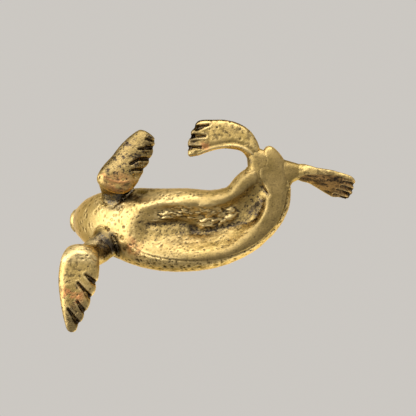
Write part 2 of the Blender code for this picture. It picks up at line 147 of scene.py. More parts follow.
# Lines on the torso's underside, as X and Y on the ground plane
RIM_LINE = (
    (-13.4, 2.3), (-10.8, 4.2), (-7.3, 5.2), (-2.8, 5.6), (1.4, 5.3),
    (5.2, 4.3), (8.5, 2.4), (11.0, -0.2), (12.3, -3.1), (12.8, -6.0),
)
FLAKE_LINES = (
    ((-8.0, -1.6), (-4.5, -2.1), (-0.5, -2.4), (3.8, -2.2)),
    ((-0.5, -0.5), (1.6, -0.6), (3.5, -1.3)),
)
VALLEY_LINES = (
    ((-9.5, -0.2), (-6.7, -0.2), (-4.5, -0.4), (-2.0, 0.3)),
    ((-2.6, 0.9), (-0.5, 1.0), (2.2, 0.3), (5.1, -0.4), (7.4, -1.2), (8.4, -3.0)),
)
TAIL_CREASE = ((7.8, -9.3), (8.2, -7.7), (8.6, -6.2), (9.6, -5.0))
TAIL_SMUDGE = ((6.7, -2.2), (7.7, -3.2), (8.8, -4.0))

# Dark braze and painted shade in the corner between the left fore flipper's heel and the flank
LEFT_ROOT_LINE = ((-17.2, -5.2), (-14.5, -4.6), (-11.5, -5.2), (-9.6, -6.2))

# Bright knob at the tail's end, and a copper-coloured spot at the hollow's chest end
TAIL_KNOB = (10.4, -11.8, 0.0)
TAIL_KNOB_RADIUS = 2.0
HOLLOW_COPPER = (-12.0, 3.2)

# Flaky ridges in the hollow, with flakes drawn out along X
FLAKE_RIDGE_WIDTH = 0.8
FLAKE_RIDGE_HEIGHT = 0.30
FLAKE_BAND = 1.0
FLAKE_SIZE = 0.42
FLAKE_STRETCH = 0.45
FLAKE_HEIGHT = 0.28

# Heights Z and places X or Y between which finishes, painted highlights among them, come in, or fade out
# where the name says so
POLISH_FADE_Z = (0.25, 0.6)
LOW_FLANK_Z = (0.2, 0.6)
HOLLOW_Z = (0.3, 0.9)
HOLLOW_X = (-14.0, -12.0)
FLANK_FADE_Z = (9.0, 18.0)
CHEST_FORWARD = (11.5, 13.5)
LEFT_SIDE_Z = (1.2, 2.6)
LEFT_SIDE_FADE_Z = (8.0, 14.0)
RIGHT_HEEL_FADE_Y = (5.0, 6.5)
RIGHT_SOLE_GRIME_Y = (7.0, 12.0)
RIGHT_HIND_FACE_X = (13.0, 14.0)

# Ridges on the soles, as X and Y on the ground plane
LEFT_HEEL_RIDGE = ((-16.8, -8.2), (-15.7, -7.4), (-13.8, -7.0), (-11.7, -7.4), (-10.2, -8.0))
LEFT_HEEL_RIDGE_WIDTH = 0.28
LEFT_HIND_LIP = ((-1.6, -11.5), (0.7, -12.4), (3.8, -12.9), (5.6, -12.5), (6.8, -11.8), (8.4, -10.3))
LEFT_HIND_FOLD_GAP = 0.55
RIGHT_HIND_RIDGE = (
    (13.4, -7.4), (14.6, -8.0), (15.7, -8.3), (18.2, -8.4), (20.6, -8.2), (22.2, -7.7), (24.0, -7.2),
)

# Toe lines on the soles, as X and Y on the ground plane
LEFT_FORE_TOES = (
    ((-9.9, -14.1), (-8.0, -13.5)),
    ((-11.1, -12.4), (-8.2, -12.8)),
    ((-12.4, -10.0), (-11.1, -10.7), (-9.3, -10.8)),
    ((-12.1, -9.0), (-9.9, -9.2)),
)
RIGHT_FORE_TOES = (
    ((-19.6, 7.8), (-18.0, 9.2)),
    ((-20.8, 9.1), (-18.6, 11.7)),
    ((-20.9, 12.1), (-19.4, 14.4)),
    ((-22.4, 13.3), (-20.6, 15.8)),
)
LEFT_HIND_TOES = (
    ((0.1, -16.2), (-2.0, -15.7)),
    ((-0.5, -14.4), (-3.3, -14.4)),
    ((-1.1, -12.6), (-3.5, -12.5)),
)
RIGHT_HIND_TOES = (
    ((21.9, -7.0), (24.1, -6.4)),
    ((21.5, -6.3), (23.7, -5.6)),
    ((20.8, -5.7), (23.1, -4.9)),
    ((20.4, -5.0), (22.4, -4.2)),
)

# Copper-coloured and dark spots on the soles; the copper round the left heel is also painted warm shade
LEFT_HEEL_COPPER = (-14.2, -6.4)
RIGHT_SOLE_COPPER = (-21.6, 10.9)
RIGHT_FORE_TIP = (-21.2, 14.5, 0.0)
LEFT_HIND_COPPER = (-0.5, -12.8)
LEFT_HIND_TIP = (-2.8, -14.0, 0.0)

# How far the left hind flipper's sole and its toes are lifted off the ground
LEFT_HIND_LIFT = 0.15
LEFT_HIND_TOE_LIFT = 0.35

# The right hind flipper's sunken face, and the X beyond which the flipper is smoother
RIGHT_HIND_FACE_DEPTH = 0.14
RIGHT_HIND_SOFT_X = 20.0

# Heels of the fore flippers: the sole's back end, its heading in degrees and how much of the heel is left
LEFT_HEEL = Heel(sole=(-14.6, -7.4), heading=-76.0, share=0.66)
RIGHT_HEEL = Heel(sole=(-20.45, 4.9), heading=97.0, share=0.70)
HEEL_OVERLAP = 0.5
LEG_BOTTOM = 4.6

# Dark patina round the fore flippers' roots, with its shift from each bead, and pockets with more dark, which
# is patina and painted shade
ROOT_BLOT_SHIFT = {"fore_left_braze": (0.6, 0.0, -0.6), "fore_right_braze": (0.0, 0.7, -0.6)}
NO_SHIFT = (0.0, 0.0, 0.0)
ROOT_BLOT_RADIUS = 4.2
ROOT_BLOT_FLATNESS = 0.55
POCKETS = ((7.0, -10.6, 1.0), (11.9, -10.0, 1.2))
POCKET_RADIUS = 1.3
POCKET_SHADE = 0.8

# Fillets of braze: how far they reach from the bead's middle, how far they run straight from one casting to
# the other, how softly they fill the corner, and their shares of patina in the middle and all over
NECK_FILLET = FilletSizes(reach=7.0, straight=5.0, softness=0.6, shade=0.0, film=0.0)
FORE_FILLET = FilletSizes(reach=5.8, straight=2.7, softness=0.9, shade=0.95, film=0.1)
HIND_FILLET = FilletSizes(reach=4.2, straight=2.1, softness=0.8, shade=0.0, film=0.3)

# The fillets' fineness and depth, how far their edges sink under the castings, what counts as clear of them,
# the shares of the reach between which the smoothing fades, and their finish
FILLET_VOXEL = 0.14
FILLET_DEPTH = 0.4
FILLET_SINK = 0.05
FILLET_SINK_GAP = 0.06
FILLET_CLEAR = 0.12
FILLET_FADE_START = 0.6
FILLET_FADE_END = 0.95
FILLET_GRIME = 0.45
FILLET_MOTTLE = 0.12
FILLET_MOTTLE_SIZE = 0.9
FILLET_SEED = 90

# Head features: the middle of the skull, the muzzle's rise and an eye's X, place aside and Z
HEAD_Y = -0.6
SKULL = (-20.9, HEAD_Y, 31.0)
MUZZLE_PITCH = 32.0
EYE = (-20.3, 2.39, 32.1)
LID_RADIUS = 0.88
LID_WIDTH = 0.14
LID_DEPTH = 0.12
BROW_RADIUS = 1.2
BROW_WIDTH = 0.2
BROW_HEIGHT = 0.04
MOUTH_DROP = 0.62
MOUTH_SLANT = 0.05
MOUTH_WIDTH = 0.16
MOUTH_DEPTH = 0.24

# Places on the head, as measures forward along the muzzle, aside and up, with rows of whisker marks
WHISKER_PAD = (2.5, 1.15, -0.05)
NOSTRIL = (3.25, 0.5, 0.55)
FIRST_WHISKER = (2.0, 1.75, 0.25)
WHISKER_ROWS = 3
WHISKER_COLUMNS = 3
WHISKER_ROW_STEP = 0.38
WHISKER_COLUMN_STEP = 0.42

# Grooves: how much their width wobbles and flares, and how far off and how high their lips are
GROOVE_WOBBLE = 0.14
GROOVE_WOBBLE_SIZE = 0.7
GROOVE_FLARE = 0.4
LIP_PLACE = 1.9
LIP_HEIGHT = 0.12

# Noise: its finer lumps, the width of streaks, the lumps in blots and tints, and the full share of such spots
FINE_LUMP_SHARE = 0.35
FINE_LUMP_RATIO = 2.1
STREAK_SIZE = 0.5
BLOT_RAGGEDNESS = 0.3
BLOT_LUMP_SIZE = 0.9
TINT_LUMP_SIZE = 0.8
SPOT_CORE = 0.3

# Factors that scatter a cell's place and a seed into a number that looks random
X_FACTOR = 73856093
Y_FACTOR = 19349663
Z_FACTOR = 83492791
SEED_FACTOR = 97531
SCATTER_STEPS = ((13, 1274126177), (15, 668265263))


def lattice(cells, seed):
    """A repeatable number from 0 to 1 for each whole-number cell."""
    x, y, z = cells.T
    mixed = x * X_FACTOR ^ y * Y_FACTOR ^ z * Z_FACTOR ^ seed * SEED_FACTOR
    for shift, factor in SCATTER_STEPS:
        mixed = (mixed ^ (mixed >> shift)) * factor & 0x7FFFFFFF
    return ((mixed >> 7) & 0xFFFF) / 0xFFFF


def noise(points, size, seed):
    """Smooth noise from -1 to 1, with lumps of about the given size."""
    places = points / size + 1000
    cells = np.floor(places).astype(np.int64)
    shares = places - cells
    shares = shares * shares * (3 - 2 * shares)
    total = np.zeros(len(points))
    for corner in np.ndindex(2, 2, 2):
        weights = np.where(np.array(corner) == 1, shares, 1 - shares).prod(axis=1)
        total += weights * lattice(cells + corner, seed)
    return total * 2 - 1


def rough(points, size, seed):
    """Noise with finer lumps added."""
    finer = noise(points, size / FINE_LUMP_RATIO, seed + 1)
    return noise(points, size, seed) * (1 - FINE_LUMP_SHARE) + finer * FINE_LUMP_SHARE


def streaks(points, stretch, low, high, seed):
    """Streaks along X, from 0 to 1. Low and high are the noise at which they start and are full."""
    return ramp(rough(points * (stretch, 1, 1), STREAK_SIZE, seed), low, high)


def pits(points, spacing, share, radius, seed):
    """How deep each point lies in a scatter of round pits, from 0 to 1. Share is how many cells hold one."""
    places = points / spacing + 1000
    cells = np.floor(places).astype(np.int64)
    depth = np.zeros(len(points))
    for step in np.ndindex(3, 3, 3):
        cell = cells + step - 1
        centres = np.stack([lattice(cell, seed + axis) for axis in range(3)], axis=1) + cell
        reach = radius * (0.5 + lattice(cell, seed + 4))
        gap = np.linalg.norm((places - centres) * spacing, axis=1) / reach
        found = np.clip(1 - gap, 0, 1) * (lattice(cell, seed + 3) < share)
        depth = np.maximum(depth, found)
    return depth * depth * (3 - 2 * depth)


def ramp(values, low, high):
    """A smooth step from 0 at low to 1 at high."""
    share = np.clip((values - low) / (high - low), 0, 1)
    return share * share * (3 - 2 * share)


def curve(line, steps=4):
    """A smooth curve through a line of places."""
    spots = np.array(line, float)
    if len(spots) < 3:
        return spots
    before = np.vstack((2 * spots[0] - spots[1], spots[:-2]))
    after = np.vstack((spots[2:], 2 * spots[-1] - spots[-2]))
    made = [spots[0]]
    for a, b, c, d in zip(before, spots[:-1], spots[1:], after):
        for share in np.linspace(0, 1, steps + 1)[1:]:
            bend = (2 * a - 5 * b + 4 * c - d) * share**2 + (3 * b - a - 3 * c + d) * share**3
            made.append((2 * b + (c - a) * share + bend) / 2)
    return np.array(made)


def line_gap(points, line):
    """Each point's distance in plan from a smooth line of places, and its share of the way along it."""
    gap = np.full(len(points), 1e9)
    share = np.zeros(len(points))
    spots = curve(line)
    for index, (start, end) in enumerate(zip(spots, spots[1:])):
        step = end - start
        along = np.clip(((points[:, :2] - start) @ step) / (step @ step), 0, 1)
        away = np.linalg.norm(points[:, :2] - start - along[:, None] * step, axis=1)
        nearer = away < gap
        gap = np.where(nearer, away, gap)
        share = np.where(nearer, (index + along) / (len(spots) - 1), share)
    return gap, share


def stripe(points, line, width):
    """1 on a line in plan, fading over a width to either side."""
    gap, _ = line_gap(points, line)
    return np.exp(-((gap / width) ** 2))


def blot(points, centre, radius, flat=1.0):
    """1 at a place and 0 further off than a radius, with a ragged edge. A small flat stretches it along Z."""
    gap = np.linalg.norm((points - np.array(centre)) * (1, 1, flat), axis=1)
    gap += radius * BLOT_RAGGEDNESS * rough(points, BLOT_LUMP_SIZE, seed=21)
    return 1 - ramp(gap, radius * SPOT_CORE, radius)


def reached(count, ends, seeds):
    """Which points can be reached along edges from the seeds."""
    found = seeds.copy()
    start, end = ends.T
    size = 0
    while found.sum() > size:
        size = found.sum()
        found |= np.bincount(end, found[start], count) > 0
    return found


def keep_points(mesh, kept):
    """Deletes a mesh's points, with their faces, where kept is false."""
    bm = bmesh.new()
    bm.from_mesh(mesh)
    dropped = [vert for vert in bm.verts if not kept[vert.index]]
    bmesh.ops.delete(bm, geom=dropped, context="VERTS")
    bm.to_mesh(mesh)
    bm.free()


def read(items, name, width, kind):
    """One row of values for each of a mesh's items."""
    values = np.empty(len(items) * width, kind)
    items.foreach_get(name, values)
    return values.reshape(-1, width)


class Surface:
    """A triangle mesh as points in millimetres, with the pairs of points that its edges join, both ways."""

    def __init__(self, points, triangles, ends):
        self.points = points
        self.triangles = triangles
        self.ends = ends
        self.neighbours = np.maximum(np.bincount(ends[:, 0], minlength=len(points)), 1)

    def average(self, values):
        """The mean of each point's neighbours."""
        start, end = self.ends.T
        sums = [np.bincount(start, column[end], len(self.neighbours)) for column in values.T]
        return np.stack(sums, axis=1) / self.neighbours[:, None]

    def normals(self):
        """The way out of the surface at each point."""
        a, b, c = (self.points[self.triangles[:, corner]] for corner in range(3))
        across = np.cross(b - a, c - a)
        total = np.zeros_like(self.points)
        for corner in range(3):
            for axis in range(3):
                total[:, axis] += np.bincount(self.triangles[:, corner], across[:, axis], len(total))
        return total / np.maximum(np.linalg.norm(total, axis=1, keepdims=True), 1e-12)

    def move(self, amount):
        """Moves each point out along its normal."""
        self.points += self.normals() * amount[:, None]

    def clearance(self, points):
        """How far each of some points lies outside the surface."""
        tree = BVHTree.FromPolygons(self.points.tolist(), self.triangles.tolist())
        gaps = np.empty(len(points))
        for index, point in enumerate(points.tolist()):
            place, out, _, gap = tree.find_nearest(point)
            gaps[index] = math.copysign(gap, (Vector(point) - place).dot(out))
        return gaps


class Skin(Surface):
    """A casting's surface with shares of patina, grime, shine, polish and copper tint at each point, which in
    some places are painted shade and painted highlight.
    """

    def __init__(self, shape, voxel):
        self.voxel = voxel
        self.mesh = self.fine_copy(shape, voxel)
        self.drop_islands()
        self.mesh.calc_loop_triangles()
        points = read(self.mesh.vertices, "co", 3, np.float32).astype(float)
        triangles = read(self.mesh.loop_triangles, "vertices", 3, np.int32)
        super().__init__(points, triangles, self.read_ends())
        count = len(points)
        self.dark = np.zeros(count)
        self.grime = np.full(count, 0.5)
        self.shine = np.ones(count)
        self.polish = np.zeros(count)
        self.copper = np.zeros(count)

    @staticmethod
    def fine_copy(shape, voxel):
        """A mesh in millimetres with even faces, from a mesh in metres."""
        mesh = shape.copy()
        mesh.transform(Matrix.Scale(1 / MM, 4))
        rough_copy = bpy.data.objects.new("fine_copy", mesh)
        bpy.context.scene.collection.objects.link(rough_copy)
        remesh = rough_copy.modifiers.new("remesh", "REMESH")
        remesh.mode = "VOXEL"
        remesh.voxel_size = voxel
        graph = bpy.context.evaluated_depsgraph_get()
        made = bpy.data.meshes.new_from_object(rough_copy.evaluated_get(graph))
        bpy.data.objects.remove(rough_copy)
        made.materials.clear()
        return made

    def read_ends(self):
        """The pairs of points that the mesh's edges join, both ways."""
        pairs = read(self.mesh.edges, "vertices", 2, np.int32)
        return np.concatenate([pairs, pairs[:, ::-1]])

    def drop_islands(self):
        """Drops what isn't connected with the highest point, such as the walls of gaps inside."""
        height = read(self.mesh.vertices, "co", 3, np.float32)[:, 2]
        keep_points(self.mesh, reached(len(height), self.read_ends(), height == height.max()))

    def blurred(self, values, steps):
        """Values smoothed over the surface."""
        made = values.reshape(len(self.points), -1)
        for _ in range(steps):
            made = (made + self.average(made)) / 2
        return made.reshape(values.shape)

    def round_off(self, reach, swell):
        """Smooths facets and edges away over a reach, with soles that stay on the ground."""
        self.move(np.full(len(self.points), swell))
        self.points = self.blurred(self.points, round((2 * reach / self.voxel) ** 2))
        height = self.points[:, 2]
        self.points[:, 2] = (height + np.hypot(height, SOLE_SOFTNESS)) / 2 - SOLE_SOFTNESS / 4

    def soften(self, mask, steps):
        """Smooths the surface where the mask is 1."""
        self.points += (self.blurred(self.points, steps) - self.points) * mask[:, None]

    def under(self):
        """1 where the surface faces down, and 0 where it faces sideways or up."""
        return ramp(-self.normals()[:, 2], 0.05, 0.45)

    def darken(self, amount):
        """Leaves at least an amount of dark at each point: patina in most places, painted shade in a few."""
        self.dark = np.maximum(self.dark, amount)

    def wave(self, size, height, seed):
        """Makes the surface uneven, with lumps of a size."""
        self.move(rough(self.points, size, seed) * height)

    def groove(self, line, width, depth, mask, flare=0.0, shade=1.0):
        """Carves a line with soft lips. Flare deepens it towards its far end."""
        gap, share = line_gap(self.points, line)
        wobble = 1 + GROOVE_WOBBLE * noise(self.points, GROOVE_WOBBLE_SIZE, seed=11)
        reach = width * wobble * (1 + GROOVE_FLARE * flare * share)
        bed = np.exp(-((gap / reach) ** 2)) * mask
        lips = np.exp(-(((gap - LIP_PLACE * reach) / reach) ** 2)) * mask
        self.move((lips * LIP_HEIGHT - bed * (1 + flare * share)) * depth)
        self.darken(bed**1.5 * shade)

    def ridge(self, line, width, height, mask):
        """Raises a line."""
        self.move(stripe(self.points, line, width) * mask * height)

    def pit(self, spacing, share, radius, depth, seed, mask=1.0, shade=0.9):
        """Sinks a scatter of round pits."""
        found = pits(self.points, spacing, share, radius, seed) * mask
        self.move(-found * depth)
        self.darken(found * shade)

    def grain(self, size, height, seed, mask=1.0):
        """Roughens the surface, with patina in the low spots."""
        lumps = rough(self.points, size, seed) * mask
        self.move(lumps * height)
        self.darken(ramp(-lumps, 0.1, 0.55) * 0.55)

    def bump(self, centre, radius, height):
        """Raises a round swelling, or sinks a dent where the height is negative, and returns where it is."""
        gap = np.linalg.norm(self.points - np.array(centre), axis=1)
        swell = np.exp(-((gap / radius) ** 2))
        self.move(swell * height)
        return swell

    def stain(self, centre, radius, amount, flat=1.0):
        """Darkens the surface round a place, in patches. A small flat lets it run further up and down."""
        self.darken(blot(self.points, centre, radius, flat) * amount)

    def fill_pockets(self):
        """Darkens the pockets between the hind flippers and the tail with patina and painted shade."""
        for place in POCKETS:
            self.stain(place, POCKET_RADIUS, POCKET_SHADE)

    def tint(self, centre, radius, amount, seed):
        """Tints the underside round a place with copper, in patches."""
        gap = np.linalg.norm(self.points[:, :2] - np.array(centre), axis=1)
        patches = ramp(rough(self.points, TINT_LUMP_SIZE, seed), -0.35, 0.35)
        patches *= (1 - ramp(gap, radius * SPOT_CORE, radius)) * self.under()
        self.copper = np.maximum(self.copper, patches * amount)

    def cavity(self, steps, full):
        """1 in a hollow that is as deep as full, and -1 on as high a ridge."""
        sunk = ((self.blurred(self.points, steps) - self.points) * self.normals()).sum(axis=1)
        return np.clip(sunk / full, -1, 1)


def piece(name, mesh, node, material):
    """Puts a mesh in metres into the scene as the piece that stands for a node."""
    made = bpy.data.objects.new(name, mesh)
    bpy.context.scene.collection.objects.link(made)
    mesh.materials.append(material)
    mesh.shade_smooth()
    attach(made, "root")
    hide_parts(node)


def paint(mesh, **shares):
    """Keeps named shares from 0 to 1 at a mesh's points, for its material to read."""
    for name, values in shares.items():
        made = mesh.attributes.new(name, "FLOAT", "POINT")
        made.data.foreach_set("value", np.clip(values, 0, 1).astype(np.float32))


def cast(skin, node, material):
    """Finishes a sculpted skin as a piece, with patina left in its hollows, high spots worn bright, and the
    painted shade and highlights that the sculpting laid down.
    """
    fine = skin.cavity(*FINE_CAVITY)
    broad = skin.cavity(*BROAD_CAVITY)
    sunk = np.clip(fine, 0, 1) * FINE_PATINA + np.clip(broad, 0, 1) * BROAD_PATINA
    raised = np.clip(-fine, 0, 1) * FINE_WEAR + np.clip(-broad, 0, 1) * BROAD_WEAR
    patina = np.maximum(skin.dark, sunk)
    wear = raised * skin.shine + skin.polish
    skin.mesh.vertices.foreach_set("co", (skin.points * MM).astype(np.float32).ravel())
    paint(skin.mesh, patina=patina, grime=skin.grime, copper=skin.copper, wear=wear)
    skin.mesh.update()
    piece(node + "_casting", skin.mesh, node, material)


def below_rim(points):
    """1 on the flank's side of the rim line, and 0 on the hollow's side."""
    return ramp(points[:, 1] - np.interp(points[:, 0], *np.array(RIM_LINE).T), -0.1, 0.3)


def soften_hollow_end(skin):
    """Lets the hollow run out into the chest without an edge."""
    gap = np.linalg.norm(skin.points[:, :2] - HOLLOW_END, axis=1)
    near = 1 - ramp(gap, HOLLOW_END_RADIUS * HOLLOW_END_CORE, HOLLOW_END_RADIUS)
    skin.soften(near * skin.under(), HOLLOW_END_STEPS)


def flatten_rim(skin):
    """Fills the hollow's steep edge, with a nearly flat band at the rim line and an even slope above it."""
    spots = curve(RIM_LINE)
    under = skin.under() > 0.5
    heights = []
    for spot in spots:
        near = under & (np.linalg.norm(skin.points[:, :2] - spot, axis=1) < RIM_SEARCH_RADIUS)
        heights.append(skin.points[near, 2].min())
    gap, share = line_gap(skin.points, RIM_LINE)
    level = np.interp(share, np.linspace(0, 1, len(spots)), heights)
    level += RIM_SLOPE * gap + HOLLOW_SLOPE * np.clip(gap - RIM_BAND, 0, None)
    inside = skin.under() * (1 - below_rim(skin.points))
    skin.points[:, 2] -= np.clip(skin.points[:, 2] - level, 0, None) * inside * ramp(share, 0.05, 0.3)
    near = (1 - ramp(gap, 3.0, 5.0)) * skin.under() * (1 - ramp(share, 0.6, 0.8))
    skin.soften(near, RIM_SOFT_STEPS)


def engrave_rim(skin, under):
    """Cuts the thin line along the rim's lower edge."""
    _, share = line_gap(skin.points, RIM_LINE)
    skin.groove(RIM_LINE, width=0.16, depth=0.08, mask=under * ramp(share, 0.0, 0.15), shade=0.5)


def add_flakes(skin, under):
    """Raises the flaky ridges in the hollow, polished and brightened with a painted highlight, and returns
    where they are.
    """
    flaky = np.zeros(len(under))
    for index, line in enumerate(FLAKE_LINES):
        broken = under * ramp(rough(skin.points, 1.3, 36), -0.4, 0.3)
        skin.ridge(line, FLAKE_RIDGE_WIDTH, FLAKE_RIDGE_HEIGHT, broken)
        band = stripe(skin.points, line, FLAKE_BAND) * under
        stretched = skin.points * (FLAKE_STRETCH, 1, 1)
        flakes = band * ramp(rough(stretched, FLAKE_SIZE, 31 + index), -0.1, 0.5)
        skin.move(flakes * FLAKE_HEIGHT)
        # Polish on the band is partly wear and partly a painted highlight on ridges that lie in shade.
        skin.polish = np.maximum(skin.polish, band * 0.55 + flakes * 0.6)
        flaky = np.maximum(flaky, band)
    return flaky


def add_valleys(skin, under):
    """Sinks the streaky valleys of the hollow and the crease at the tail, whose dark is patina and painted
    shade, and smudges the hollow's end.
    """
    for line in VALLEY_LINES:
        bed = stripe(skin.points, line, width=0.75)
        streaky = streaks(skin.points, stretch=0.35, low=-0.3, high=0.3, seed=35)
        skin.groove(line, width=0.6, depth=0.22, mask=under, shade=0.0)
        skin.darken(bed * streaky * under * 0.9)
    # The crease's dark is patina and painted shade at the tail plate's edge.
    skin.groove(TAIL_CREASE, width=0.30, depth=0.2, mask=under, shade=0.7)
    skin.darken(stripe(skin.points, TAIL_SMUDGE, width=0.7) * under * 0.8)


def torso_zones(skin, under):
    """Where each finish of the torso lies, as shares from 0 to 1."""
    x, _, z = skin.points.T
    facing = -skin.normals()[:, 1]
    below = below_rim(skin.points)
    hollow = under * ramp(z, *HOLLOW_Z) * ramp(x, *HOLLOW_X) * (1 - below)
    polished = under * (1 - ramp(z, *POLISH_FADE_Z))
    left_side = ramp(facing, 0.25, 0.75) * ramp(z, *LEFT_SIDE_Z) * (1 - ramp(z, *LEFT_SIDE_FADE_Z))
    return Zones(
        under=under,
        polished=polished,
        coarse=(1 - ramp(z, *FLANK_FADE_Z)) * (1 - polished),
        low_flank=under * below * ramp(z, *LOW_FLANK_Z),
        hollow=hollow,
        upper=hollow * ramp(-facing, 0.1, 0.4),
        lower=hollow * ramp(facing, 0.1, 0.4),
        chest=under * ramp(-x, *CHEST_FORWARD),
        left_side=left_side,
    )


def wear_torso(skin, zones):
    """Grime on coarse zones, polish on worn ones, painted highlight as polish and less grime where the flank
    and hollow slope face the light, and a film of patina on the rim and its lower lip, on the lip also
    painted shade.
    """
    # Less grime is wear on the chest, and a painted highlight on the flank and slope that face the light.
    worn = np.maximum(np.maximum(zones.chest, zones.left_side), zones.lower)
    skin.grime = 0.45 + 0.55 * zones.coarse - 0.15 * zones.polished
    skin.grime = skin.grime - 0.5 * worn - 0.4 * zones.upper - 0.8 * skin.polish
    skin.shine = 1 - 0.8 * zones.polished
    # The flank's polish is a painted highlight.
    skin.polish = np.maximum(skin.polish, np.maximum(0.1 * zones.chest, 0.6 * zones.left_side))
    gap, share = line_gap(skin.points, RIM_LINE)
    # On the rim's lower lip the film is also painted shade that dims its highlight.
    lip = (1 - ramp(gap, 0.8, 1.8)) * zones.under * (1 - below_rim(skin.points)) * ramp(share, 0.1, 0.25)
    skin.darken(np.maximum(0.40 * zones.polished, 0.36 * lip))


def pit_torso(skin, zones):
    """Grain and pits, which are finest in the hollow and largest on the chest and the low flank."""
    smooth = np.maximum(zones.chest, zones.upper)
    slopes = zones.hollow * (1 - 0.7 * zones.upper)
    flank = zones.coarse * (1 - zones.hollow) * (1 - 0.9 * zones.chest)
    low_flank = zones.low_flank * (1 - zones.chest)
    sides = zones.coarse * (1 - zones.under)
    skin.grain(size=0.55, height=0.045, mask=zones.coarse * (1 - 0.7 * smooth), seed=39)
    skin.pit(spacing=0.46, share=0.55, radius=0.18, depth=0.09, mask=slopes, seed=41)
    skin.pit(spacing=0.90, share=0.80, radius=0.46, depth=0.16, mask=zones.chest, seed=63, shade=1.0)
    skin.pit(spacing=0.44, share=0.60, radius=0.18, depth=0.09, mask=flank, seed=51, shade=1.0)
    skin.pit(spacing=0.75, share=0.35, radius=0.20, depth=0.09, seed=61)
    skin.pit(spacing=0.95, share=0.80, radius=0.46, depth=0.16, mask=low_flank, seed=67, shade=1.0)
    skin.pit(spacing=1.10, share=0.50, radius=0.34, depth=0.11, mask=sides, seed=69, shade=0.8)
    skin.darken(zones.left_side * ramp(rough(skin.points, 1.3, 37), 0.0, 0.6) * 0.3)


def darken_left_root(skin):
    """Dark, patchy braze and painted shade beside the left fore flipper's heel."""
    gap, _ = line_gap(skin.points, LEFT_ROOT_LINE)
    z = skin.points[:, 2]
    root = np.exp(-((gap / 1.1) ** 4)) * ramp(z, 1.5, 3.0) * (1 - ramp(z, 5.5, 8.5))
    skin.darken(root * ramp(rough(skin.points, 0.8, 38), -0.9, 0.1) * 0.95)


def torso_skin(frame):
    """The torso: a pitted hollow with flaky ridges, a filed rim, and a coarser flank and chest."""
    skin = Skin(frame["nodes"]["torso"].data, TORSO_VOXEL)
    skin.round_off(ROUNDING, SWELL)
    soften_hollow_end(skin)
    flatten_rim(skin)
    skin.wave(size=3.0, height=0.06, seed=1)
    under = skin.under()
    engrave_rim(skin, under)
    flaky = add_flakes(skin, under)
    add_valleys(skin, under)
    zones = torso_zones(skin, under)
    wear_torso(skin, zones)
    pit_torso(skin, zones)
    darken_left_root(skin)
    # Less patina on the bright knob and, as painted highlight, on the flaky band.
    knob = blot(skin.points, TAIL_KNOB, TAIL_KNOB_RADIUS)
    skin.dark *= 1 - np.maximum(0.7 * knob, 0.9 * flaky)
    skin.fill_pockets()
    skin.tint(HOLLOW_COPPER, radius=2.2, amount=0.7, seed=25)
    return skin


class HeadPlace:
    """Places on the head, measured forward along the muzzle, aside and up from the middle of the skull."""

    def __init__(self, points):
        self.origin = np.array(SKULL)
        pitch = math.radians(MUZZLE_PITCH)
        self.axes = np.array(
            ((-math.cos(pitch), 0, math.sin(pitch)), (0, 1, 0), (math.sin(pitch), 0, math.cos(pitch)))
        )
        self.forward, _, self.up = self.axes @ (points - self.origin).T

    def spot(self, hand, forward, aside, up):
        """A place from its three measures, on the right where hand is 1 and on the left where it is -1."""
        return self.origin + np.array((forward, hand * aside, up)) @ self.axes


def carve_cheek(skin, muzzle, hand):
    """A whisker pad with its marks, a nostril and an eye with its lid, on the side that hand gives."""
    skin.bump(muzzle.spot(hand, *WHISKER_PAD), radius=0.85, height=0.28)
    skin.darken(skin.bump(muzzle.spot(hand, *NOSTRIL), radius=0.3, height=-0.28))
    forward, aside, up = FIRST_WHISKER
    for row in range(WHISKER_ROWS):
        row_up = up - WHISKER_ROW_STEP * row
        for column in range(WHISKER_COLUMNS):
            whisker = muzzle.spot(hand, forward + WHISKER_COLUMN_STEP * column, aside, row_up)
            skin.darken(skin.bump(whisker, radius=0.15, height=-0.1))
    eye = np.array((EYE[0], HEAD_Y + hand * EYE[1], EYE[2]))
    gap = np.linalg.norm(skin.points - eye, axis=1)
    lid = np.exp(-(((gap - LID_RADIUS) / LID_WIDTH) ** 2))
    brow = np.exp(-(((gap - BROW_RADIUS) / BROW_WIDTH) ** 2))
    skin.move(-lid * LID_DEPTH + brow * BROW_HEIGHT)
    skin.darken(lid * 0.8)


def carve_mouth(skin, muzzle):
    """The line of the mouth, from the muzzle's tip back to the cheeks."""
    height = muzzle.up + MOUTH_DROP + MOUTH_SLANT * muzzle.forward
    mouth = np.exp(-((height / MOUTH_WIDTH) ** 2))
    mouth *= ramp(muzzle.forward, 0.2, 0.8)
    skin.move(-mouth * MOUTH_DEPTH)
    skin.darken(mouth)


def head_skin(frame):
    """The head: eyes with lids, nostrils, a mouth line and whisker pads, with a fine grain."""
    skin = Skin(frame["nodes"]["head"].data, HEAD_VOXEL)
    skin.round_off(HEAD_ROUNDING, HEAD_SWELL)
    skin.wave(size=2.5, height=0.04, seed=2)
    muzzle = HeadPlace(skin.points)
    for hand in (-1, 1):
        carve_cheek(skin, muzzle, hand)
    carve_mouth(skin, muzzle)
    skin.grain(size=0.6, height=0.02, seed=73)
    skin.pit(spacing=0.6, share=0.45, radius=0.17, depth=0.07, seed=71)
    return skin


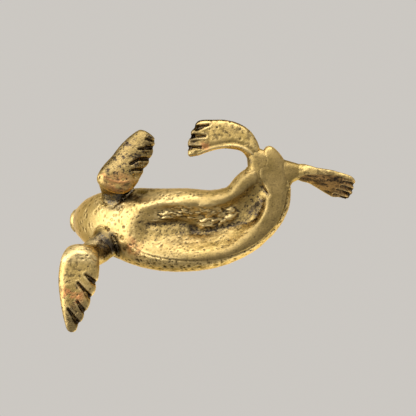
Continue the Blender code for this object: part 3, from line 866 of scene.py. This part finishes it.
def flipper_skin(frame, node, toes, seed, soft_from=None, toe_shade=1.0):
    """A flipper with toe lines carved over its edge, and scattered pits. One may be smoother beyond an X."""
    skin = Skin(frame["nodes"][node].data, FLIPPER_VOXEL)
    skin.round_off(ROUNDING, SWELL)
    if soft_from is not None:
        skin.soften(ramp(skin.points[:, 0], soft_from, soft_from + 1), 100)
    skin.wave(size=2.2, height=0.05, seed=seed)
    for line in toes:
        facing = -skin.normals()[:, 2]
        _, share = line_gap(skin.points, line)
        notch = ramp(facing, -0.6, 0.0) * ramp(share, 0.45, 1.0)
        skin.groove(line, width=0.55, depth=0.26, mask=notch, shade=0.0)
        skin.groove(line, width=0.20, depth=0.34, mask=ramp(facing, -0.45, 0.1), flare=0.9, shade=toe_shade)
        skin.groove(line, width=0.24, depth=0.16, mask=ramp(-facing, 0.0, 0.4), shade=0.8)
    skin.grain(size=0.5, height=0.02, seed=seed + 75)
    skin.pit(spacing=0.5, share=0.45, radius=0.15, depth=0.07, seed=seed + 80)
    skin.pit(spacing=1.1, share=0.40, radius=0.30, depth=0.12, seed=seed + 85)
    return skin


def draw_in(skin, heel):
    """Draws a fore flipper's heel in towards its sole, and darkens the leg above it."""
    turn = math.radians(heel.heading)
    forward = np.array((math.cos(turn), math.sin(turn)))
    place = (skin.points[:, :2] - heel.sole) @ forward
    height = skin.points[:, 2]
    low = 1 - ramp(height, LEG_BOTTOM - 1, LEG_BOTTOM + 1.5)
    behind = np.clip(HEEL_OVERLAP - place, 0, None) * low
    skin.points[:, :2] += np.outer(behind * (1 - heel.share), forward)
    skin.darken(ramp(height, LEG_BOTTOM, LEG_BOTTOM + 4.0) * 0.85)


def left_fore_skin(frame):
    """The left fore flipper: a darker sole, and a copper-coloured ridge across its heel, with a copper tint
    round the heel that is also painted warm shade.
    """
    skin = flipper_skin(frame, "fore_flipper_left", LEFT_FORE_TOES, seed=3, toe_shade=0.7)
    draw_in(skin, LEFT_HEEL)
    skin.grime += 0.1
    skin.shine *= 0.5
    skin.dark += 0.1 + 0.4 * ramp(-skin.points[:, 1], 7.5, 9.5)
    skin.ridge(LEFT_HEEL_RIDGE, LEFT_HEEL_RIDGE_WIDTH, 0.07, skin.under())
    gap, share = line_gap(skin.points, LEFT_HEEL_RIDGE)
    crest = np.exp(-((gap / LEFT_HEEL_RIDGE_WIDTH) ** 2)) * (1 - ramp(share, 0.5, 0.9))
    skin.copper = np.maximum(skin.copper, crest * 0.8)
    # The copper round the heel is partly painted warm shade.
    skin.tint(LEFT_HEEL_COPPER, radius=3.2, amount=0.7, seed=28)
    return skin


def right_fore_skin(frame):
    """The right fore flipper: a heel made bright by a painted highlight, and a sole that gets darker towards
    the tip.
    """
    skin = flipper_skin(frame, "fore_flipper_right", RIGHT_FORE_TOES, seed=4)
    draw_in(skin, RIGHT_HEEL)
    y = skin.points[:, 1]
    heel = 1 - ramp(y, *RIGHT_HEEL_FADE_Y)
    # Less grime and polish on the heel are a painted highlight.
    skin.grime += 0.5 * ramp(y, *RIGHT_SOLE_GRIME_Y) - 0.4 * heel
    skin.polish = heel
    skin.tint(RIGHT_SOLE_COPPER, radius=2.6, amount=1.0, seed=26)
    skin.stain(RIGHT_FORE_TIP, radius=3.6, amount=0.6)
    return skin


def left_hind_skin(frame):
    """The left hind flipper: a lip with a fold along its inner edge, darkened as painted shadow, and darker
    toes that lift a little.
    """
    skin = flipper_skin(frame, "hind_flipper_left", LEFT_HIND_TOES, seed=5)
    x, y, _ = skin.points.T
    lift = LEFT_HIND_TOE_LIFT * ramp(-y, 12.0, 18.0) + LEFT_HIND_LIFT * (1 - ramp(x, 6.5, 8.5))
    skin.points[:, 2] += lift * skin.under()
    fold = np.array(LEFT_HIND_LIP) - (0, LEFT_HIND_FOLD_GAP)
    # The fold's dark line is painted shadow beside the lip.
    skin.groove(fold, width=0.34, depth=0.10, mask=skin.under(), shade=0.35)
    skin.ridge(LEFT_HIND_LIP, width=0.22, height=0.16, mask=skin.under())
    skin.stain(LEFT_HIND_TIP, radius=3.0, amount=0.75)
    skin.tint(LEFT_HIND_COPPER, radius=1.1, amount=0.8, seed=27)
    skin.fill_pockets()
    return skin


def right_hind_skin(frame):
    """The flipper on its edge: a polished upper band, with a streaky sunken face below its ridge, whose
    copper tint is painted warm shade.
    """
    skin = flipper_skin(frame, "hind_flipper_right", RIGHT_HIND_TOES, seed=6, soft_from=RIGHT_HIND_SOFT_X)
    x, y, _ = skin.points.T
    ridge_y = np.interp(x, *np.array(RIGHT_HIND_RIDGE).T)
    face = skin.under() * ramp(y - ridge_y, 0.0, 0.3) * ramp(x, *RIGHT_HIND_FACE_X)
    skin.move(-face * RIGHT_HIND_FACE_DEPTH)
    streaky = streaks(skin.points, stretch=0.3, low=-0.2, high=0.4, seed=33)
    skin.darken(face * (0.15 + 0.65 * streaky))
    skin.grime += 0.5 * face - 0.4 * (1 - face)
    # The face's copper tint is painted warm shade.
    skin.copper = np.maximum(skin.copper, face * 0.4)
    skin.fill_pockets()
    return skin


def bead_centre(frame, bead):
    """The middle of a bead of braze."""
    return np.array([vertex.co for vertex in frame["nodes"][bead].data.vertices]).mean(axis=0) / MM


def web(skins, centre, reach):
    """A closed mesh in metres drawn tight round the ends of two castings near a place."""
    bm = bmesh.new()
    for skin in skins:
        near = np.linalg.norm(skin.points - centre, axis=1) < reach
        for point in skin.points[near]:
            bm.verts.new(point * MM)
    made = bmesh.ops.convex_hull(bm, input=bm.verts)
    inside = set(made["geom_interior"]) | set(made["geom_unused"])
    dropped = [item for item in inside if isinstance(item, bmesh.types.BMVert)]
    bmesh.ops.delete(bm, geom=dropped, context="VERTS")
    mesh = bpy.data.meshes.new("web")
    bm.to_mesh(mesh)
    bm.free()
    return mesh


def joined(frame, torso, limbs, beads):
    """One surface round all the castings and the braze between them, without the gaps inside."""
    bm = bmesh.new()
    for skin in (torso, *limbs.values()):
        verts = [bm.verts.new(point * MM) for point in skin.points]
        for corners in skin.triangles:
            bm.faces.new([verts[corner] for corner in corners])
    for bead in beads:
        bm.from_mesh(frame["nodes"][bead.node].data)
        bm.from_mesh(web((torso, limbs[bead.limb]), bead_centre(frame, bead.node), bead.sizes.straight))
    mesh = bpy.data.meshes.new("joined")
    bm.to_mesh(mesh)
    bm.free()
    return Skin(mesh, FILLET_VOXEL)


def patch(whole, centre, reach):
    """The part of a surface round a place, with the edges on its border listed one way only."""
    near = np.linalg.norm(whole.points - centre, axis=1) < reach
    kept = whole.triangles[near[whole.triangles].all(axis=1)]
    used, index = np.unique(kept, return_inverse=True)
    triangles = index.reshape(-1, 3)
    sides = np.concatenate([triangles[:, [0, 1]], triangles[:, [1, 2]], triangles[:, [2, 0]]])
    return Surface(whole.points[used], triangles, sides)


def fill_corner(surface, centre, sizes):
    """Smooths a patch round a bead, and keeps only what that fills."""
    before = surface.points.copy()
    out = surface.normals()
    gap = np.linalg.norm(before - centre, axis=1)
    pull = 0.5 * (1 - ramp(gap, sizes.reach * FILLET_FADE_START, sizes.reach * FILLET_FADE_END))[:, None]
    for _ in range(round((2 * sizes.softness / FILLET_VOXEL) ** 2)):
        surface.points += (surface.average(surface.points) - surface.points) * pull
    filled = ((surface.points - before) * out).sum(axis=1)
    surface.points = before + out * np.clip(filled, 0, None)[:, None]


def shell(name, surface, kept):
    """A closed mesh in metres between the kept part of a surface and a copy set back into the metal."""
    inner = surface.points - surface.normals() * FILLET_DEPTH
    inner[:, 2] = np.maximum(inner[:, 2], SOLE_SOFTNESS)
    count = len(surface.points)
    triangles = [tuple(corners) for corners in surface.triangles.tolist() if kept[corners].all()]
    sides = {side for a, b, c in triangles for side in ((a, b), (b, c), (c, a))}
    faces = triangles + [(c + count, b + count, a + count) for a, b, c in triangles]
    faces += [(b, a, a + count, b + count) for a, b in sides if (b, a) not in sides]
    points = np.concatenate([surface.points, inner]) * MM
    mesh = bpy.data.meshes.new(name)
    mesh.from_pydata(points.tolist(), [], faces)
    used = np.zeros(len(points), bool)
    used[[corner for face in faces for corner in face]] = True
    keep_points(mesh, used)
    return mesh


def fillet(frame, bead, whole, castings, seed):
    """Braze that fills the corner between two castings and lies just under their surfaces elsewhere."""
    sizes = bead.sizes
    centre = bead_centre(frame, bead.node)
    made = patch(whole, centre, sizes.reach)
    fill_corner(made, centre, sizes)
    clear = np.minimum(*[skin.clearance(made.points) for skin in castings])
    made.move(-FILLET_SINK * (1 - ramp(clear, 0.0, FILLET_SINK_GAP)))
    kept = reached(len(clear), made.ends, clear > FILLET_CLEAR)
    mesh = shell(bead.node + "_fillet", made, kept)
    places = np.array([vertex.co for vertex in mesh.vertices]) / MM
    stain = centre + np.array(ROOT_BLOT_SHIFT.get(bead.node, NO_SHIFT))
    dark = blot(places, stain, ROOT_BLOT_RADIUS, ROOT_BLOT_FLATNESS) * sizes.shade
    # The pockets get patina and painted shade on the fillets too.
    for pocket in POCKETS:
        dark = np.maximum(dark, blot(places, pocket, POCKET_RADIUS) * POCKET_SHADE)
    patina = np.maximum(dark, sizes.film + FILLET_MOTTLE * rough(places, FILLET_MOTTLE_SIZE, seed))
    none = np.zeros(len(places))
    paint(mesh, patina=patina, grime=none + FILLET_GRIME, copper=none, wear=none)
    if sizes.shade:
        for skin in castings:
            skin.stain(stain, ROOT_BLOT_RADIUS, sizes.shade, ROOT_BLOT_FLATNESS)
    piece(bead.node + "_fillet", mesh, bead.node, bead.material)


class Shader:
    """Adds nodes to a material or world and links them."""

    def __init__(self, tree):
        self.tree = tree

    def put(self, value, socket):
        """Links an output to a socket, or sets the socket to a plain value."""
        if isinstance(value, bpy.types.NodeSocket):
            self.tree.links.new(value, socket)
        else:
            socket.default_value = value

    def node(self, kind, inputs=None, **settings):
        made = self.tree.nodes.new("ShaderNode" + kind)
        for name, value in settings.items():
            setattr(made, name, value)
        for name, value in (inputs or {}).items():
            self.put(value, made.inputs[name])
        return made

    def attribute(self, name):
        """A share that is kept at the mesh's points."""
        return self.node("Attribute", attribute_name=name).outputs["Fac"]

    def noise(self, size, detail=4.0, roughness=0.6):
        """Noise with lumps of a size in millimetres, from 0 to 1."""
        place = self.node("TexCoord").outputs["Object"]
        values = {"Vector": place, "Scale": 1 / (size * MM), "Detail": detail, "Roughness": roughness}
        return self.node("TexNoise", values).outputs["Fac"]

    def spread(self, value, low, high, start=0.0, end=1.0):
        """Maps low to high onto start to end, and stops there."""
        values = {"Value": value, "From Min": low, "From Max": high, "To Min": start, "To Max": end}
        return self.node("MapRange", values).outputs["Result"]

    def sum(self, first, second, operation="ADD"):
        """A sum, or the result of another operation, held between 0 and 1."""
        made = self.node("Math", {0: first, 1: second}, operation=operation, use_clamp=True)
        return made.outputs["Value"]

    def mix(self, share, first, second):
        """A mix of two colours."""
        made = self.node("Mix", data_type="RGBA")
        self.put(share, made.inputs[0])
        for value, socket in ((first, made.inputs[6]), (second, made.inputs[7])):
            self.put((*value, 1.0) if isinstance(value, tuple) else value, socket)
        return made.outputs[2]


def antique_brass(name, patina_colour, roughness):
    """Brass whose patina, copper tint and wear, with the painted shade and highlights among them, come from
    the sculpted surface, broken up by noise.
    """
    material = bpy.data.materials.new(name)
    material.use_nodes = True
    shader = Shader(material.node_tree)
    metal = material.node_tree.nodes["Principled BSDF"]
    patina = shader.attribute("patina")
    copper = shader.attribute("copper")
    grime = shader.attribute("grime")
    wear = shader.attribute("wear")
    clouds = shader.spread(shader.noise(CLOUD_SIZE), low=0.35, high=0.68)
    lumps = shader.noise(MOTTLE_SIZE, detail=5.0, roughness=0.7)
    mottle = shader.spread(lumps, low=0.50, high=0.75, end=0.45)
    grain = shader.noise(GRAIN_SIZE, detail=3.0, roughness=0.65)
    specks = shader.spread(grain, low=0.53, high=0.70, end=0.85)
    colour = shader.mix(clouds, BRASS, OLIVE_BRASS)
    colour = shader.mix(wear, colour, PALE_BRASS)
    colour = shader.mix(copper, colour, COPPER)
    broken = shader.sum(patina, shader.spread(grain, low=0.3, high=0.7, start=0.75, end=1.25), "MULTIPLY")
    rubbed = shader.spread(wear, low=0.0, high=0.6, start=1.0, end=0.0)
    dirt = shader.sum(shader.sum(specks, mottle), shader.sum(rubbed, grime, "MULTIPLY"), "MULTIPLY")
    dark = shader.sum(broken, dirt)
    colour = shader.mix(dark, colour, patina_colour)
    gloss = shader.spread(dark, low=0.55, high=1.0, start=roughness, end=roughness - PATINA_SMOOTHNESS)
    bump = shader.node("Bump", {"Height": grain, "Strength": 0.5, "Distance": GRAIN_BUMP * MM})
    shader.put(colour, metal.inputs["Base Color"])
    shader.put(gloss, metal.inputs["Roughness"])
    shader.put(bump.outputs["Normal"], metal.inputs["Normal"])
    shader.put((*EDGE_TINT, 1.0), metal.inputs["Specular Tint"])
    shader.put(1.0, metal.inputs["Metallic"])
    return material


def floor_paint():
    """A pale paint that shows from above and lets light and the view through from below."""
    material = bpy.data.materials.new("pale_floor")
    material.use_nodes = True
    tree = material.node_tree
    shader = Shader(tree)
    tree.nodes.remove(tree.nodes["Principled BSDF"])
    speckle = shader.spread(shader.noise(FLOOR_SPECKLE), low=0.3, high=0.7)
    paint_coat = shader.node("BsdfDiffuse", {"Color": shader.mix(speckle, *FLOOR_SHADES)})
    clear = shader.node("BsdfTransparent")
    seen = shader.node("LightPath").outputs["Is Camera Ray"]
    front = shader.sum(1.0, shader.node("NewGeometry").outputs["Backfacing"], "SUBTRACT")
    shown = shader.node("MixShader", {"Fac": shader.sum(seen, front, "MULTIPLY")})
    shader.put(clear.outputs["BSDF"], shown.inputs[1])
    shader.put(paint_coat.outputs["BSDF"], shown.inputs[2])
    shader.put(shown.outputs["Shader"], tree.nodes["Material Output"].inputs["Surface"])
    return material


def floor():
    """A round floor under the figurine."""
    bm = bmesh.new()
    bmesh.ops.create_circle(bm, cap_ends=True, segments=FLOOR_SIDES, radius=FLOOR_RADIUS_M)
    mesh = bpy.data.meshes.new("floor")
    bm.to_mesh(mesh)
    bm.free()
    made = bpy.data.objects.new("floor", mesh)
    bpy.context.scene.collection.objects.link(made)
    mesh.materials.append(floor_paint())


def lamp(name, place, width, power):
    """A square soft light that faces the figurine."""
    light = bpy.data.lights.new(name, "AREA")
    light.size = width * MM
    light.energy = power
    made = bpy.data.objects.new(name, light)
    made.location = Vector(place) * MM
    made.rotation_euler = (-Vector(place)).to_track_quat("-Z", "Y").to_euler()
    bpy.context.scene.collection.objects.link(made)


def room():
    """A pale room whose wall on the figurine's left is the lighter one."""
    world = bpy.data.worlds.new("pale_room")
    bpy.context.scene.world = world
    world.use_nodes = True
    shader = Shader(world.node_tree)
    way = shader.node("SeparateXYZ", {"Vector": shader.node("TexCoord").outputs["Generated"]})
    walls = shader.mix(shader.spread(way.outputs["Y"], low=-1.0, high=1.0), LEFT_WALL, RIGHT_WALL)
    colour = shader.mix(shader.spread(way.outputs["Z"], low=0.0, high=0.9), walls, CEILING)
    shader.put(colour, world.node_tree.nodes["Background"].inputs["Color"])


def camera():
    """A camera under the figurine that looks up, with the figurine's left side at the picture's top."""
    data = bpy.data.cameras.new("camera")
    data.sensor_width = SENSOR_WIDTH
    data.lens = SENSOR_WIDTH * CAMERA_DISTANCE / VIEW_WIDTH
    data.clip_start = CLIP_START_M
    made = bpy.data.objects.new("camera", data)
    right, up, back = Vector((1, 0, 0)), Vector((0, -1, 0)), Vector((0, 0, -1))
    turn = Matrix((right, up, back)).transposed().to_4x4()
    made.matrix_world = Matrix.Translation(Vector((0, VIEW_CENTRE_Y, -CAMERA_DISTANCE)) * MM) @ turn
    bpy.context.scene.collection.objects.link(made)
    bpy.context.scene.camera = made


def main():
    """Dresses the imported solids."""
    for old in list(bpy.data.objects):
        bpy.data.objects.remove(old)
    bpy.context.scene.view_settings.view_transform = "Standard"
    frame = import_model()
    camera()
    for settings in LAMPS:
        lamp(*settings)
    room()
    floor()
    brass = antique_brass("antique_brass", PATINA, BRASS_ROUGHNESS)
    dark = antique_brass("dark_braze", GREY_PATINA, DARK_BRAZE_ROUGHNESS)
    filed = antique_brass("filed_braze", PATINA, BRASS_ROUGHNESS)
    torso = torso_skin(frame)
    limbs = {
        "head": head_skin(frame),
        "fore_flipper_left": left_fore_skin(frame),
        "fore_flipper_right": right_fore_skin(frame),
        "hind_flipper_left": left_hind_skin(frame),
        "hind_flipper_right": right_hind_skin(frame),
    }
    beads = (
        Bead("neck_braze", "head", "filed_braze", filed, NECK_FILLET),
        Bead("fore_left_braze", "fore_flipper_left", "dark_braze", dark, FORE_FILLET),
        Bead("fore_right_braze", "fore_flipper_right", "dark_braze", dark, FORE_FILLET),
        Bead("hind_left_braze", "hind_flipper_left", "filed_braze", filed, HIND_FILLET),
        Bead("hind_right_braze", "hind_flipper_right", "filed_braze", filed, HIND_FILLET),
    )
    whole = joined(frame, torso, limbs, beads)
    for index, bead in enumerate(beads):
        fillet(frame, bead, whole, (torso, limbs[bead.limb]), FILLET_SEED + index)
    for node, skin in {"torso": torso, **limbs}.items():
        cast(skin, node, brass)


main()
